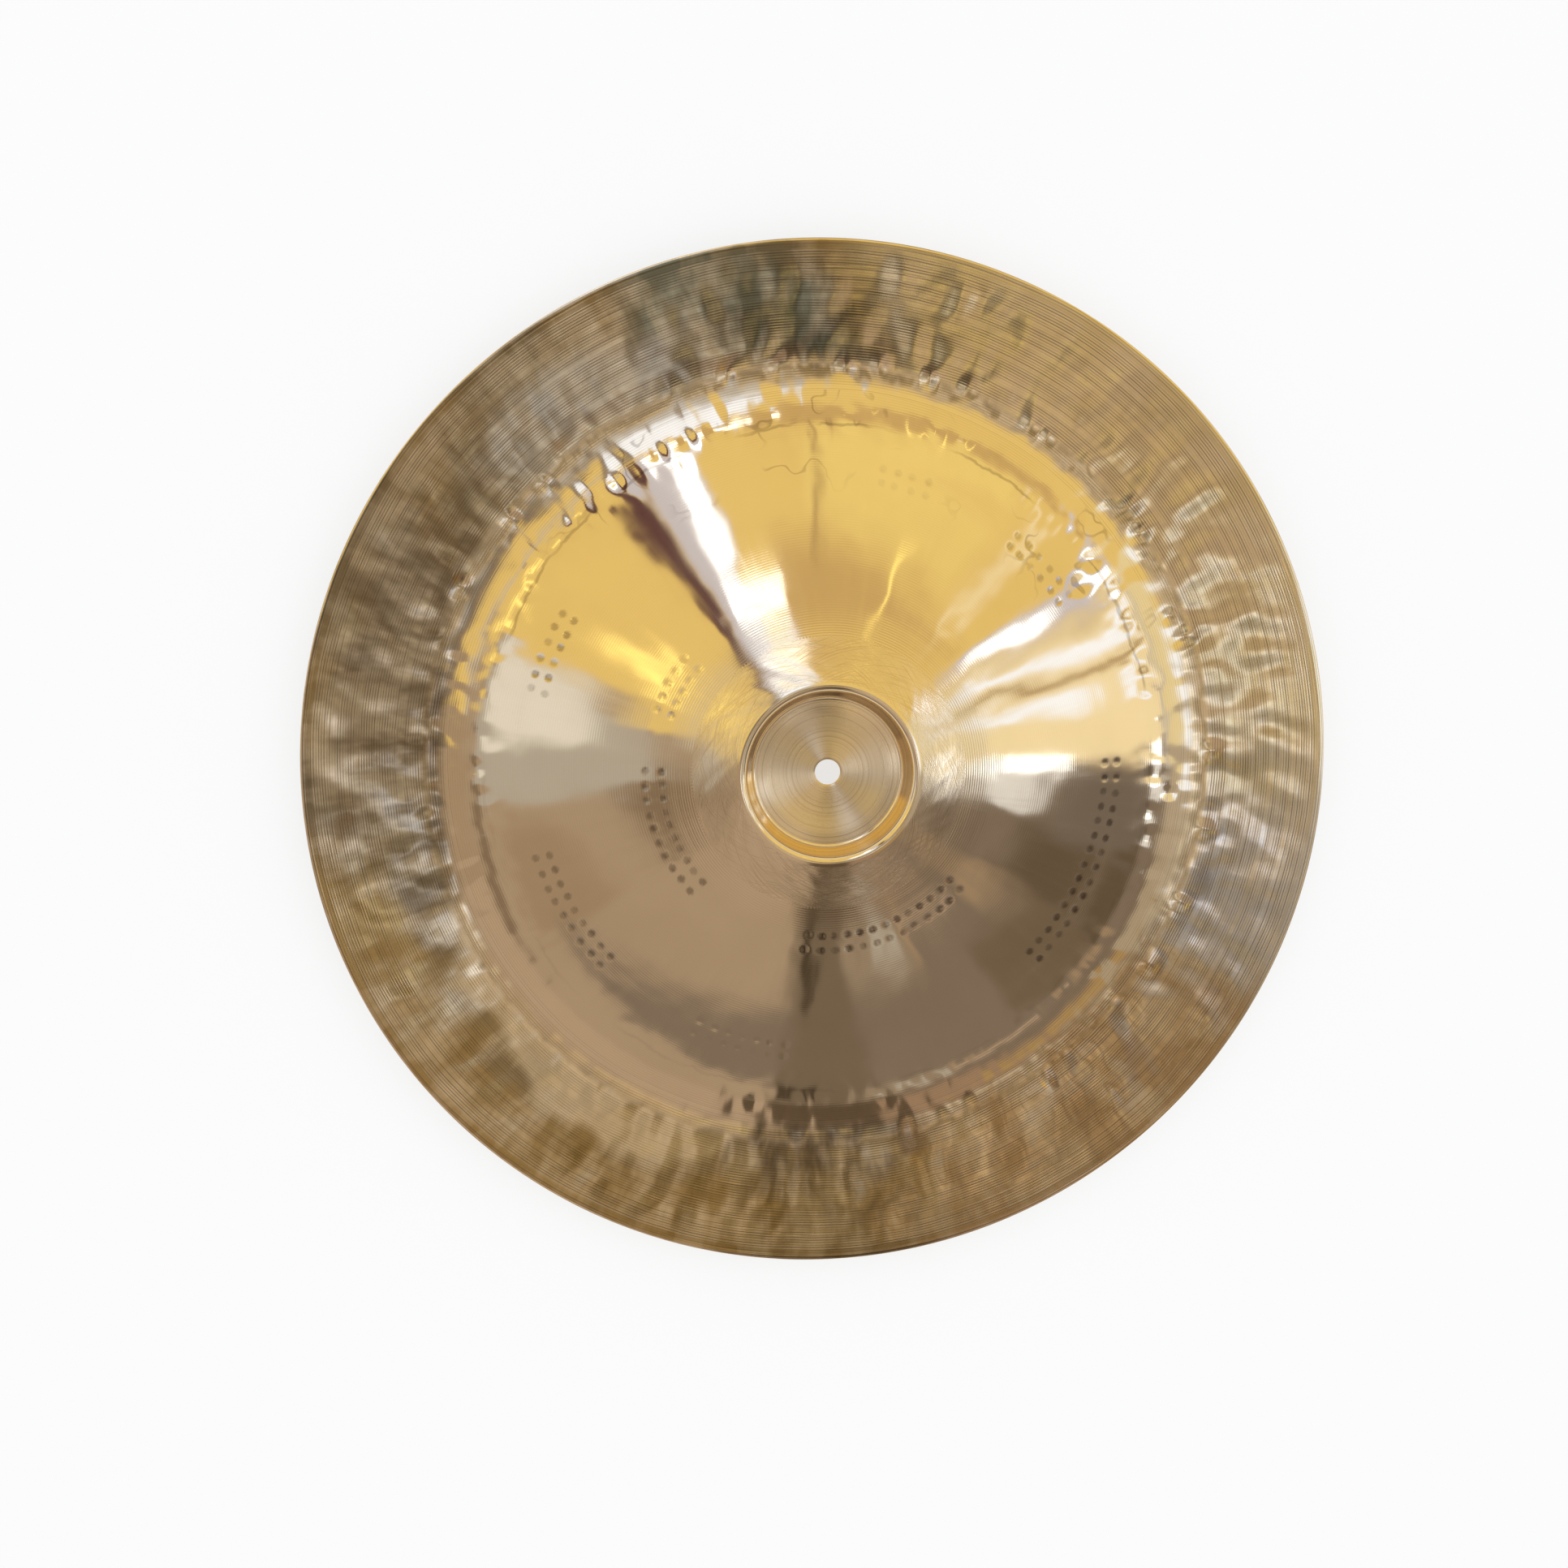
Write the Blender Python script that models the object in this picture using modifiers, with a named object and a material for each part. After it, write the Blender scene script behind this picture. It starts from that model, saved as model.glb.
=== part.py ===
"""Hand-forged bronze cymbal with a sunk cup and a turned-up edge, modelled the way it is worked.

A real one is a single disc of bronze. It is hammered to a dome, its cup is sunk in the middle,
its outer band is raised to a flange by rings of hammer blows, and both faces are turned on a lathe.
Units are metres, +Z is up, the played face is on top and the disc lies on the turn of its flange.
"""
import math
from collections import namedtuple

import bmesh
import bpy
from mathutils import Vector

# Overall radius, and the widths of the bands from the rim inwards
RIM_RADIUS = 0.2286
FLANGE_WIDTH = 0.0616
HEEL_WIDTH = 0.0150
TURN_WIDTH = 0.0160
SHOULDER_WIDTH = 0.0140

# Stand hole with its flat felt seat, and the cup that is sunk round it
HOLE_RADIUS = 0.0056
SEAT_WIDTH = 0.0084
LIP_RADIUS = 0.0385
LIP_ROLL = 0.0022
CUP_DEPTH = 0.0100
CUP_DISH = 0.0012
FLOOR_FILLET = 0.0020
WALL_LEAN = math.radians(20)
THROAT_WIDTH = 0.0215

# Heights and slopes of the dome and of the flange
THROAT_RISE = 0.0050
BOW_RISE = 0.0217
BOW_DOMING = 0.22
CREASE_SLOPE = math.radians(15)
FLANGE_SLOPE = math.radians(15.5)

# Thickness of the metal, thinned on the lathe from the cup to the rim
CUP_GAUGE = 0.0012
RIM_GAUGE = 0.0008

# Blows of the hammer, which stand in two staggered rings on the turn of the flange
BLOWS_IN_A_RING = 48
BLOW_RADIUS = 0.0050
BLOW_DEPTH = 0.0005
COLUMNS_FOR_A_BLOW = 2

# Pull of a station's tangent on the curve beside it, in chord lengths
TANGENT_PULL = 1.05
MERGE_DISTANCE = 0.00001
SMOOTH_BELOW = math.radians(40)

BRONZE_COLOUR = (0.74, 0.50, 0.22, 1.0)
BRONZE_ROUGHNESS = 0.22

# A place on the section's centre line, where the metal heads, and the steps to the next place
Station = namedtuple("Station", "radius height heading steps")


def clear_scene():
    """Remove whatever the file opened with."""
    for old in list(bpy.data.objects):
        bpy.data.objects.remove(old, do_unlink=True)


def arc_rise(width, start_slope, end_slope):
    """Height gained over a width on which the slope turns evenly from one value to the other."""
    return width * math.tan((start_slope + end_slope) / 2)


def blow_ring_radii():
    """Radii of the inner ring of blows, on the turn, and of the outer ring, on the flange's heel."""
    valley = RIM_RADIUS - FLANGE_WIDTH
    return valley - TURN_WIDTH * 0.6, valley + HEEL_WIDTH * 0.6


def stations():
    """Places that the centre line passes through, from the stand hole out to the rim."""
    valley = RIM_RADIUS - FLANGE_WIDTH
    crease = valley - TURN_WIDTH
    shoulder = crease - SHOULDER_WIDTH
    throat = LIP_RADIUS + THROAT_WIDTH
    inner_blows, outer_blows = blow_ring_radii()

    bow_slope = math.atan(BOW_RISE / (shoulder - throat))
    steepest = bow_slope * (1 + BOW_DOMING)
    throat_slope = bow_slope * (1 - BOW_DOMING)
    crease_height = arc_rise(TURN_WIDTH, 0, CREASE_SLOPE)
    shoulder_height = crease_height + arc_rise(SHOULDER_WIDTH, CREASE_SLOPE, steepest)
    throat_height = shoulder_height + BOW_RISE
    lip_height = throat_height + THROAT_RISE

    wall_heading = math.pi / 2 - WALL_LEAN
    wall_top = LIP_RADIUS - LIP_ROLL
    wall_height = CUP_DEPTH - LIP_ROLL - FLOOR_FILLET
    wall_foot = wall_top - wall_height * math.tan(WALL_LEAN)
    floor_edge = wall_foot - FLOOR_FILLET
    floor_height = lip_height - CUP_DEPTH

    inner_share = (valley - inner_blows) / TURN_WIDTH
    outer_share = (outer_blows - valley) / HEEL_WIDTH
    heel_height = arc_rise(HEEL_WIDTH, 0, FLANGE_SLOPE)
    rim_mid = RIM_RADIUS - RIM_GAUGE / 2 * math.cos(FLANGE_SLOPE)
    rim_height = heel_height + (rim_mid - valley - HEEL_WIDTH) * math.tan(FLANGE_SLOPE)

    return [
        Station(HOLE_RADIUS, floor_height - CUP_DISH, 0, 1),
        Station(HOLE_RADIUS + SEAT_WIDTH, floor_height - CUP_DISH, 0, 2),
        Station(floor_edge, floor_height, math.atan(CUP_DISH / floor_edge), 2),
        Station(wall_foot, floor_height + FLOOR_FILLET, wall_heading, 1),
        Station(wall_top, lip_height - LIP_ROLL, wall_heading, 2),
        Station(LIP_RADIUS, lip_height, 0, 2),
        Station(LIP_RADIUS + 2 * LIP_ROLL, lip_height - THROAT_RISE * 0.15, -throat_slope, 2),
        Station(throat, throat_height, -throat_slope, 5),
        Station(shoulder, shoulder_height, -steepest, 2),
        Station(crease, crease_height, -CREASE_SLOPE, 1),
        Station(inner_blows, crease_height * inner_share ** 2, -CREASE_SLOPE * inner_share, 1),
        Station(valley, 0, 0, 1),
        Station(outer_blows, heel_height * outer_share ** 2, FLANGE_SLOPE * outer_share, 1),
        Station(valley + HEEL_WIDTH, heel_height, FLANGE_SLOPE, 3),
        Station(rim_mid, rim_height, FLANGE_SLOPE, 0),
    ]


def smooth_points(start, end):
    """Points on the cubic curve from one station to the next, without its last point."""
    first = Vector((start.radius, start.height))
    last = Vector((end.radius, end.height))
    pull = (last - first).length * TANGENT_PULL
    leave = Vector((math.cos(start.heading), math.sin(start.heading))) * pull
    arrive = Vector((math.cos(end.heading), math.sin(end.heading))) * pull
    points = []
    for step in range(start.steps):
        u = step / start.steps
        point = first * (2 * u ** 3 - 3 * u ** 2 + 1)
        point += leave * (u ** 3 - 2 * u ** 2 + u)
        point += last * (3 * u ** 2 - 2 * u ** 3)
        point += arrive * (u ** 3 - u ** 2)
        points.append(point)
    return points


def centre_line():
    """The whole centre line of the section, as points of radius and height."""
    places = stations()
    points = []
    for start, end in zip(places, places[1:]):
        points += smooth_points(start, end)
    points.append(Vector((places[-1].radius, places[-1].height)))
    return points


def gauge_at(radius):
    """Thickness of the metal, which thins evenly from the cup's lip to the rim."""
    share = (radius - LIP_RADIUS) / (RIM_RADIUS - LIP_RADIUS)
    return CUP_GAUGE + (RIM_GAUGE - CUP_GAUGE) * min(max(share, 0), 1)


def half_thickness(before, here, after):
    """Step from the centre line to the upper face, square to both stretches that meet there."""
    into = (here - before).normalized()
    out_of = (after - here).normalized()
    up_in = Vector((-into.y, into.x))
    up_out = Vector((-out_of.y, out_of.x))
    middle = (up_in + up_out).normalized()
    return middle * (gauge_at(here.x) / 2 / middle.dot(up_in))


def section():
    """Closed outline of the metal: the upper face out to the rim, then the lower face back."""
    middle = centre_line()
    before_first = middle[0] - Vector((SEAT_WIDTH, 0))
    after_last = middle[-1] * 2 - middle[-2]
    padded = [before_first] + middle + [after_last]
    steps = [half_thickness(*padded[i:i + 3]) for i in range(len(middle))]
    upper = [point + step for point, step in zip(middle, steps)]
    lower = [point - step for point, step in zip(middle, steps)]
    outward = (middle[-1] - middle[-2]).normalized()
    tip = middle[-1] + outward * (RIM_GAUGE / 2)
    return upper + [tip] + lower[::-1]


def turned_blank(collection):
    """The disc as it leaves the lathe: its section swept round the axis of the stand hole."""
    outline = section()
    mesh = bpy.data.meshes.new("cymbal_section")
    edges = [(i, (i + 1) % len(outline)) for i in range(len(outline))]
    mesh.from_pydata([(point.x, 0, point.y) for point in outline], edges, [])
    blank = bpy.data.objects.new("cymbal_blank", mesh)
    collection.objects.link(blank)
    screw = blank.modifiers.new("Turning", "SCREW")
    screw.axis = "Z"
    screw.steps = BLOWS_IN_A_RING * COLUMNS_FOR_A_BLOW
    screw.render_steps = screw.steps
    screw.use_merge_vertices = True
    screw.merge_threshold = MERGE_DISTANCE
    return blank


def dent_at(radius, angle):
    """How far the blows of both rings push the metal down at a place on the disc."""
    pitch = 2 * math.pi / BLOWS_IN_A_RING
    depth = 0
    for ring, ring_radius in enumerate(blow_ring_radii()):
        turn = (angle / pitch - ring / 2 + 0.5) % 1 - 0.5
        along = turn * pitch * radius
        across = radius - ring_radius
        depth += BLOW_DEPTH * math.exp(-(along ** 2 + across ** 2) / BLOW_RADIUS ** 2)
    return depth


def hammered(blank, collection):
    """The finished disc: both faces of the blank follow each blow, and it rests at height zero."""
    depsgraph = bpy.context.evaluated_depsgraph_get()
    mesh = bpy.data.meshes.new_from_object(blank.evaluated_get(depsgraph))
    bpy.data.objects.remove(blank, do_unlink=True)
    mesh.name = "cymbal_disc"
    shape = bmesh.new()
    shape.from_mesh(mesh)
    for vertex in shape.verts:
        radius = math.hypot(vertex.co.x, vertex.co.y)
        vertex.co.z -= dent_at(radius, math.atan2(vertex.co.y, vertex.co.x))
    lowest = min(vertex.co.z for vertex in shape.verts)
    bmesh.ops.translate(shape, verts=shape.verts, vec=(0, 0, -lowest))
    shape.to_mesh(mesh)
    shape.free()
    mesh.shade_smooth()
    mesh.set_sharp_from_angle(angle=SMOOTH_BELOW)
    disc = bpy.data.objects.new("cymbal_disc", mesh)
    collection.objects.link(disc)
    return disc


def bronze():
    """Lathed and buffed bell bronze."""
    material = bpy.data.materials.new("bell_bronze")
    material.use_nodes = True
    shader = material.node_tree.nodes["Principled BSDF"]
    shader.inputs["Base Color"].default_value = BRONZE_COLOUR
    shader.inputs["Metallic"].default_value = 1.0
    shader.inputs["Roughness"].default_value = BRONZE_ROUGHNESS
    material.diffuse_color = BRONZE_COLOUR
    return material


def main():
    clear_scene()
    collection = bpy.data.collections.new("cymbal")
    bpy.context.scene.collection.children.link(collection)
    disc = hammered(turned_blank(collection), collection)
    disc.data.materials.clear()
    disc.data.materials.append(bronze())
    size = disc.dimensions
    print("cymbal_disc", len(disc.data.polygons), "faces", [round(side, 4) for side in size])


main()
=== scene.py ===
# %% [markdown]
# # A hand-hammered bronze cymbal
# This lesson finishes a cymbal whose solid is already packed. A real one is a single bronze disc:
# hammered to a dome, sunk in the middle for a cup, raised at the rim to a flange, then turned on a
# lathe and buffed. The solid has the right size and place, so the fine surface is built round the
# same section, with every blow of the hammer in the mesh and every tool mark in the finish.

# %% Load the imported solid
import math

import bpy
import numpy as np
from mathutils import Matrix, Vector


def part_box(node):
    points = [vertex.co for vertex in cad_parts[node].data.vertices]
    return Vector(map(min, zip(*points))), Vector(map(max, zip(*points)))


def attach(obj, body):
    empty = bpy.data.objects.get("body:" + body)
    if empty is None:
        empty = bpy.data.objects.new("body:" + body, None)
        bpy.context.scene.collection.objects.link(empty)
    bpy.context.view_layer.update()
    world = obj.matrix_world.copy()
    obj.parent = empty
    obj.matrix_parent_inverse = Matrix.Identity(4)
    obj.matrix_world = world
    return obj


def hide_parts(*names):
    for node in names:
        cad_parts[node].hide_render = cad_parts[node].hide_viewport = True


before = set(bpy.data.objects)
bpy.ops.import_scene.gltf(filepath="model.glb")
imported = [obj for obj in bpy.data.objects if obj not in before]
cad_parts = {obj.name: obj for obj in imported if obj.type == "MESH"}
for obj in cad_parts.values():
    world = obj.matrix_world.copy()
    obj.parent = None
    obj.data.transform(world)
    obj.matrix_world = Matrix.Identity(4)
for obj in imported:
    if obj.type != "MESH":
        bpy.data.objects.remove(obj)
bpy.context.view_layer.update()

# %% [markdown]
# ## The section of the disc
# A turned piece is known by its section. The places below are the ones a maker would mark on a
# template, from the stand hole to the rim: seat, cup floor, cup wall, lip, sanded throat, domed
# bow, shoulder, crease, valley, heel and flange. Cubic curves join them, so the metal bends
# smoothly. All sizes are metres.

# %% Sizes of the section
RIM_RADIUS = 0.2286
FLANGE_WIDTH = 0.0616
HEEL_WIDTH = 0.0150
TURN_WIDTH = 0.0160
SHOULDER_WIDTH = 0.0140
HOLE_RADIUS = 0.0056
SEAT_WIDTH = 0.0084
LIP_RADIUS = 0.0385
LIP_ROLL = 0.0022
CUP_DEPTH = 0.0100
CUP_DISH = 0.0012
FLOOR_FILLET = 0.0020
WALL_LEAN = math.radians(20)
THROAT_WIDTH = 0.0215
THROAT_RISE = 0.0050
BOW_RISE = 0.0217
BOW_DOMING = 0.22
CREASE_SLOPE = math.radians(15)
FLANGE_SLOPE = math.radians(15.5)
CUP_GAUGE = 0.0012
RIM_GAUGE = 0.0008
TANGENT_PULL = 1.05

valley = RIM_RADIUS - FLANGE_WIDTH
crease = valley - TURN_WIDTH
shoulder = crease - SHOULDER_WIDTH
throat = LIP_RADIUS + THROAT_WIDTH
print("valley, crease, shoulder, throat:", valley, crease, shoulder, throat)


# %% Places on the centre line: radius, height and heading
def arc_rise(width, start_slope, end_slope):
    """Height gained where the slope turns evenly from one value to the other."""
    return width * math.tan((start_slope + end_slope) / 2)


bow_slope = math.atan(BOW_RISE / (shoulder - throat))
steepest = bow_slope * (1 + BOW_DOMING)
throat_slope = bow_slope * (1 - BOW_DOMING)
crease_height = arc_rise(TURN_WIDTH, 0, CREASE_SLOPE)
shoulder_height = crease_height + arc_rise(SHOULDER_WIDTH, CREASE_SLOPE, steepest)
throat_height = shoulder_height + BOW_RISE
lip_height = throat_height + THROAT_RISE
floor_height = lip_height - CUP_DEPTH
wall_heading = math.pi / 2 - WALL_LEAN
wall_top = LIP_RADIUS - LIP_ROLL
wall_foot = wall_top - (CUP_DEPTH - LIP_ROLL - FLOOR_FILLET) * math.tan(WALL_LEAN)
floor_edge = wall_foot - FLOOR_FILLET
heel_height = arc_rise(HEEL_WIDTH, 0, FLANGE_SLOPE)
rim_mid = RIM_RADIUS - RIM_GAUGE / 2 * math.cos(FLANGE_SLOPE)
rim_height = heel_height + (rim_mid - valley - HEEL_WIDTH) * math.tan(FLANGE_SLOPE)

STATIONS = [
    (HOLE_RADIUS, floor_height - CUP_DISH, 0),
    (HOLE_RADIUS + SEAT_WIDTH, floor_height - CUP_DISH, 0),
    (floor_edge, floor_height, math.atan(CUP_DISH / floor_edge)),
    (wall_foot, floor_height + FLOOR_FILLET, wall_heading),
    (wall_top, lip_height - LIP_ROLL, wall_heading),
    (LIP_RADIUS, lip_height, 0),
    (LIP_RADIUS + 2 * LIP_ROLL, lip_height - THROAT_RISE * 0.15, -throat_slope),
    (throat, throat_height, -throat_slope),
    (shoulder, shoulder_height, -steepest),
    (crease, crease_height, -CREASE_SLOPE),
    (valley, 0, 0),
    (valley + HEEL_WIDTH, heel_height, FLANGE_SLOPE),
    (rim_mid, rim_height, FLANGE_SLOPE),
]
print(len(STATIONS), "stations, cup floor", round(floor_height, 4), "lip", round(lip_height, 4))

# %% [markdown]
# ## From stations to rings
# A lathe could be copied with a Screw modifier, but its columns are as many at the hole as at the
# rim. Here each ring of vertices gets its own spacing and count: fine where dots are punched or
# the lip rolls over, coarse where the bow is plain. The counts double from one band to the next,
# so that two rings always join with clean quads or three triangles.

# %% Bands: how far apart the rings lie, and how many vertices a ring has
# up to this radius, spacing of the rings, vertices in a ring
PLAYED_FACE = [
    (0.0145, 0.0012, 132),
    (0.0305, 0.0016, 264),
    (0.0430, 0.0006, 264),
    (0.0600, 0.0015, 264),
    (0.0690, 0.0018, 528),
    (0.0825, 0.0008, 528),
    (0.1256, 0.0028, 528),
    (0.1372, 0.0008, 1056),
    (0.1860, 0.0014, 528),
    (RIM_RADIUS, 0.0022, 528),
]
UNDERSIDE = [
    (0.0145, 0.0024, 132),
    (0.0305, 0.0040, 264),
    (0.0430, 0.0014, 264),
    (0.1400, 0.0060, 264),
    (0.1880, 0.0028, 264),
    (RIM_RADIUS, 0.0056, 264),
]
DENSE_STEPS = 60


def band_of(radius, bands):
    """Spacing and vertex count at a radius."""
    for limit, spacing, count in bands:
        if radius <= limit:
            return spacing, count
    return bands[-1][1:]


def dense_centre_line():
    """Closely spaced points of radius and height on the cubic curves between the stations."""
    points = []
    for (r0, z0, h0), (r1, z1, h1) in zip(STATIONS, STATIONS[1:]):
        first = np.array((r0, z0))
        last = np.array((r1, z1))
        pull = np.linalg.norm(last - first) * TANGENT_PULL
        leave = np.array((math.cos(h0), math.sin(h0))) * pull
        arrive = np.array((math.cos(h1), math.sin(h1))) * pull
        for u in np.linspace(0, 1, DENSE_STEPS, endpoint=False):
            point = first * (2 * u ** 3 - 3 * u ** 2 + 1) + leave * (u ** 3 - 2 * u ** 2 + u)
            point = point + last * (3 * u ** 2 - 2 * u ** 3) + arrive * (u ** 3 - u ** 2)
            points.append(point)
    points.append(np.array(STATIONS[-1][:2]))
    return np.array(points)


def spaced_centre_line(bands):
    """Points and upward normals along the centre line, as far apart as their band says."""
    dense = dense_centre_line()
    run = np.concatenate([[0], np.cumsum(np.linalg.norm(np.diff(dense, axis=0), axis=1))])
    stops = [0.0]
    while stops[-1] < run[-1]:
        radius = np.interp(stops[-1], run, dense[:, 0])
        stops.append(stops[-1] + band_of(radius, bands)[0])
    stops = np.array(stops) * (run[-1] / stops[-1])
    points = np.stack([np.interp(stops, run, dense[:, i]) for i in (0, 1)], axis=1)
    tangents = np.gradient(points, axis=0)
    tangents /= np.linalg.norm(tangents, axis=1, keepdims=True)
    normals = np.stack([-tangents[:, 1], tangents[:, 0]], axis=1)
    return points, normals


def gauge_at(radius):
    """Thickness of the metal, which thins evenly from the lip to the rim."""
    share = np.clip((radius - LIP_RADIUS) / (RIM_RADIUS - LIP_RADIUS), 0, 1)
    return CUP_GAUGE + (RIM_GAUGE - CUP_GAUGE) * share


def face_points(bands, side):
    """Points of one face, half the gauge away from the centre line."""
    points, normals = spaced_centre_line(bands)
    return points + normals * (gauge_at(points[:, :1]) / 2 * side)


top_face = face_points(PLAYED_FACE, 1)
low_face = face_points(UNDERSIDE, -1)
print("rings on the played face", len(top_face), "and under it", len(low_face))

# %% The closed outline: played face, rounded rim, underside, deburred hole
RIM_ARC_STEPS = 3
DEBURR = 0.00015
HOLE_COUNT = PLAYED_FACE[0][2]
RIM_COUNT = PLAYED_FACE[-1][2]

rings = [(HOLE_RADIUS, top_face[0][1] - DEBURR, HOLE_COUNT)]
rings.append((HOLE_RADIUS + DEBURR, top_face[0][1], HOLE_COUNT))
for radius, height in top_face[1:]:
    rings.append((radius, height, band_of(radius, PLAYED_FACE)[1]))
half_gauge = RIM_GAUGE / 2
for step in range(1, RIM_ARC_STEPS + 1):
    turn = FLANGE_SLOPE + math.pi / 2 - math.pi * step / (RIM_ARC_STEPS + 1)
    radius = min(rim_mid + half_gauge * math.cos(turn), RIM_RADIUS)
    rings.append((radius, rim_height + half_gauge * math.sin(turn), RIM_COUNT))
for radius, height in low_face[:0:-1]:
    rings.append((radius, height, band_of(radius, UNDERSIDE)[1]))
rings.append((HOLE_RADIUS + DEBURR, low_face[0][1], HOLE_COUNT))
rings.append((HOLE_RADIUS, low_face[0][1] + DEBURR, HOLE_COUNT))
print("rings in all", len(rings))


# %% Rings to mesh
def ring_vertices(radius, height, count):
    """One ring of vertices round the Z axis."""
    angle = np.arange(count) * (2 * math.pi / count)
    return np.stack([radius * np.cos(angle), radius * np.sin(angle), np.full(count, height)], 1)


def joined(start_a, count_a, start_b, count_b):
    """Faces between two rings whose counts are equal, doubled or halved, facing outwards."""
    faces = []
    if count_a == count_b:
        for j in range(count_a):
            k = (j + 1) % count_a
            faces.append((start_a + j, start_b + j, start_b + k, start_a + k))
    elif count_b == 2 * count_a:
        for j in range(count_a):
            k = (j + 1) % count_a
            left = start_b + 2 * j
            middle = left + 1
            right = start_b + (2 * j + 2) % count_b
            faces.append((start_a + j, left, middle))
            faces.append((start_a + j, middle, start_a + k))
            faces.append((start_a + k, middle, right))
    elif count_a == 2 * count_b:
        for j in range(count_b):
            k = (j + 1) % count_b
            left = start_a + 2 * j
            middle = left + 1
            right = start_a + (2 * j + 2) % count_a
            faces.append((left, start_b + j, middle))
            faces.append((middle, start_b + j, start_b + k))
            faces.append((middle, start_b + k, right))
    else:
        raise ValueError(f"rings of {count_a} and {count_b} don't join")
    return faces


def disc_mesh(name):
    """The turned disc as one closed mesh."""
    blocks = [ring_vertices(*ring) for ring in rings]
    starts = np.concatenate([[0], np.cumsum([len(block) for block in blocks])])
    faces = []
    for i in range(len(rings)):
        j = (i + 1) % len(rings)
        faces += joined(int(starts[i]), rings[i][2], int(starts[j]), rings[j][2])
    mesh = bpy.data.meshes.new(name)
    mesh.from_pydata(np.concatenate(blocks).tolist(), [], faces)
    mesh.validate()
    mesh.shade_smooth()
    return mesh


blank = bpy.data.objects.new("cymbal_blank", disc_mesh("cymbal_blank"))
bpy.context.scene.collection.objects.link(blank)
triangles = sum(len(face.vertices) - 2 for face in blank.data.polygons)
print("turned disc:", triangles, "triangles")

# %% [markdown]
# ## Helpers for node trees
# Both materials and geometry trees are long chains of small sums. These helpers add one node and
# wire its inputs in the same call, which keeps a recipe readable from top to bottom.


# %% Small builders for nodes
class Tree:
    """A node tree with short calls that add a node and wire it."""

    def __init__(self, tree):
        self.tree = tree

    def add(self, kind, values=None, **settings):
        """Add a node, set its properties, and give each named or numbered input a value or a link."""
        node = self.tree.nodes.new(kind)
        for name, value in settings.items():
            setattr(node, name, value)
        for key, value in (values or {}).items():
            self.put(node.inputs[key], value)
        return node

    def put(self, socket, value):
        """A socket is linked; anything else becomes the input's own value."""
        if isinstance(value, bpy.types.NodeSocket):
            self.tree.links.new(value, socket)
        else:
            socket.default_value = value

    def put_shown(self, node, values):
        """Fill the inputs that the node's settings leave in use, by name, and give its output."""
        for socket in node.inputs:
            if socket.enabled and socket.name in values:
                self.put(socket, values[socket.name])
        return [socket for socket in node.outputs if socket.enabled][0]

    def math(self, operation, first, second=0.0, third=0.0, clamp=False):
        """A Math node."""
        inputs = {0: first, 1: second, 2: third}
        return self.add("ShaderNodeMath", inputs, operation=operation, use_clamp=clamp).outputs[0]

    def times(self, first, *others):
        """The product of two or more numbers."""
        for other in others:
            first = self.math("MULTIPLY", first, other)
        return first

    def plus(self, first, *others):
        """The sum of two or more numbers."""
        for other in others:
            first = self.math("ADD", first, other)
        return first

    def ramp(self, value, low, high, start=0.0, end=1.0):
        """A smooth step from start to end while the value goes from low to high."""
        inputs = {"Value": value, "From Min": low, "From Max": high, "To Min": start, "To Max": end}
        return self.add("ShaderNodeMapRange", inputs, interpolation_type="SMOOTHSTEP").outputs[0]

    def vector(self, x, y, z=0.0):
        """Three numbers joined to a vector."""
        return self.add("ShaderNodeCombineXYZ", {0: x, 1: y, 2: z}).outputs[0]

    def parts(self, vector):
        """The three numbers of a vector."""
        return self.add("ShaderNodeSeparateXYZ", {0: vector}).outputs

    def vectors(self, operation, first, second=None):
        """A Vector Math node: its number for a length or a dot product, else its vector."""
        inputs = {0: first} if second is None else {0: first, 1: second}
        node = self.add("ShaderNodeVectorMath", inputs, operation=operation)
        return node.outputs["Value" if operation in ("LENGTH", "DOT_PRODUCT") else "Vector"]

    def noise(self, vector, scale, detail=2.0, roughness=0.5, seed=0.0):
        """Soft noise between 0 and 1; the seed moves it along a fourth axis."""
        inputs = {"Vector": vector, "W": seed, "Scale": scale, "Detail": detail, "Roughness": roughness}
        return self.add("ShaderNodeTexNoise", inputs, noise_dimensions="4D").outputs[0]

    def mix(self, factor, first, second):
        """A blend of two colours, each a tuple or a link."""
        colours = [(*colour, 1.0) if isinstance(colour, tuple) else colour for colour in (first, second)]
        node = self.add("ShaderNodeMix", data_type="RGBA")
        return self.put_shown(node, {"Factor": factor, "A": colours[0], "B": colours[1]})

    def sector(self, outwards, degrees, half_width, softness):
        """1 in a sector round the disc, 0 outside it; sizes are in degrees."""
        turn = math.radians(degrees)
        along = self.vectors("DOT_PRODUCT", outwards, (math.cos(turn), math.sin(turn), 0.0))
        low, high = [math.cos(math.radians(half_width + more)) for more in (softness, -softness)]
        return self.ramp(along, low, high)

    def over(self, under, around, level, card):
        """Lay a card with soft edges over a colour; it is as wide in degrees and as high as it says."""
        centre, half_width, middle, half_height, softness, colour = card
        aside = self.math("WRAP", self.math("SUBTRACT", around, centre), 180.0, -180.0)
        inside = self.ramp(self.math("ABSOLUTE", aside), half_width + softness, half_width - softness / 2)
        above = self.math("ABSOLUTE", self.math("SUBTRACT", level, middle))
        level_with = self.ramp(above, half_height + softness, half_height - softness / 2)
        return self.mix(self.times(inside, level_with), under, colour)


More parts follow.
